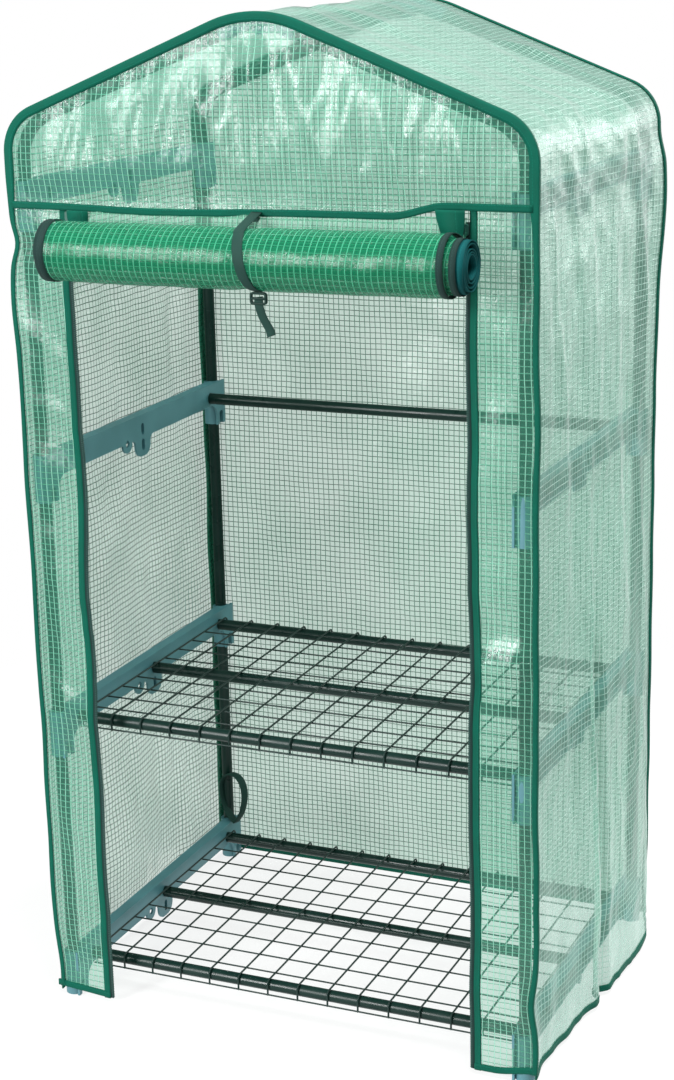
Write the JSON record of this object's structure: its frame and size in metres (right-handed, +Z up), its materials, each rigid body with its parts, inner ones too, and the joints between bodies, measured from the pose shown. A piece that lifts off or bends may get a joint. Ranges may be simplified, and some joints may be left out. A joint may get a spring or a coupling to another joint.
{
  "type": "mini greenhouse",
  "caption": "Small gable-roofed greenhouse: tube frame in moulded side brackets, two wire shelves, mesh cover with a zipped door rolled up and tied under the front gable.",
  "frame": {"origin": "on the floor, at the bottom centre of the whole object's box, the rolled door and its tie counted in", "axes": "+Z up, -Y towards the door side, +X to the right seen from the door side"},
  "size_m": [0.692, 0.6067, 1.306],
  "materials": {
    "frame_tube": "satin",
    "bracket_plastic": "satin",
    "shelf_wire": "satin",
    "cover_mesh": "satin",
    "door_mesh": "satin",
    "binding": "matte",
    "webbing": "matte",
    "zip_tape": "matte",
    "zip_metal": "satin",
    "buckle_plastic": "satin"
  },
  "bodies": {
    "frame": {"apex_connector_back": "bracket_plastic", "apex_connector_front": "bracket_plastic", "arch_binding_back": "binding", "arch_binding_front": "binding", "bar_high_back": "frame_tube", "bar_lower_back": "frame_tube", "bar_lower_front": "frame_tube", "bar_lower_middle": "frame_tube", "bar_upper_back": "frame_tube", "bar_upper_front": "frame_tube", "bar_upper_middle": "frame_tube", "bracket_1_left": "bracket_plastic", "bracket_1_right": "bracket_plastic", "bracket_2_left": "bracket_plastic", "bracket_2_right": "bracket_plastic", "bracket_3_left": "bracket_plastic", "bracket_3_right": "bracket_plastic", "bracket_4_left": "bracket_plastic", "bracket_4_right": "bracket_plastic", "corner_strap": "webbing", "cover_back": "cover_mesh", "cover_roof_left": "cover_mesh", "cover_roof_right": "cover_mesh", "cover_side_left": "cover_mesh", "cover_side_right": "cover_mesh", "door_edge_binding_left": "binding", "door_edge_binding_right": "binding", "door_header": "door_mesh", "front_gable": "cover_mesh", "front_strip_left": "cover_mesh", "front_strip_right": "cover_mesh", "header_binding": "binding", "hem_back": "binding", "hem_left": "binding", "hem_right": "binding", "post_tubes_back_left": "frame_tube", "post_tubes_back_right": "frame_tube", "post_tubes_front_left": "frame_tube", "post_tubes_front_right": "frame_tube", "ridge_bar": "frame_tube", "roll_tie": "webbing", "roof_tube_back_left": "frame_tube", "roof_tube_back_right": "frame_tube", "roof_tube_front_left": "frame_tube", "roof_tube_front_right": "frame_tube", "tie_buckle": "buckle_plastic", "zip_tape_left": "zip_tape", "zip_tape_right": "zip_tape"},
    "door": {"door_roll": "door_mesh"},
    "zip_left": {"zip_slider_left": "zip_metal"},
    "zip_right": {"zip_slider_right": "zip_metal"},
    "lower_shelf": {"shelf_lower": "shelf_wire"},
    "upper_shelf": {"shelf_upper": "shelf_wire"}
  },
  "joints": [
    {"name": "door_unroll", "type": "slide", "parent": "frame", "child": "door", "axis": [0, 0, -1], "range_m": [0, 0.98], "deforming": ["roll_tie", "tie_buckle"]},
    {"name": "zip_left_slide", "type": "slide", "parent": "frame", "child": "zip_left", "axis": [0, 0, -1], "range_m": [0, 1.02]},
    {"name": "zip_right_slide", "type": "slide", "parent": "frame", "child": "zip_right", "axis": [0, 0, -1], "range_m": [0, 1.02]},
    {"name": "lower_shelf_lift", "type": "slide", "parent": "frame", "child": "lower_shelf", "axis": [0, 0, 1], "range_m": [0, 0.12]},
    {"name": "upper_shelf_lift", "type": "slide", "parent": "frame", "child": "upper_shelf", "axis": [0, 0, 1], "range_m": [0, 0.12]}
  ]
}
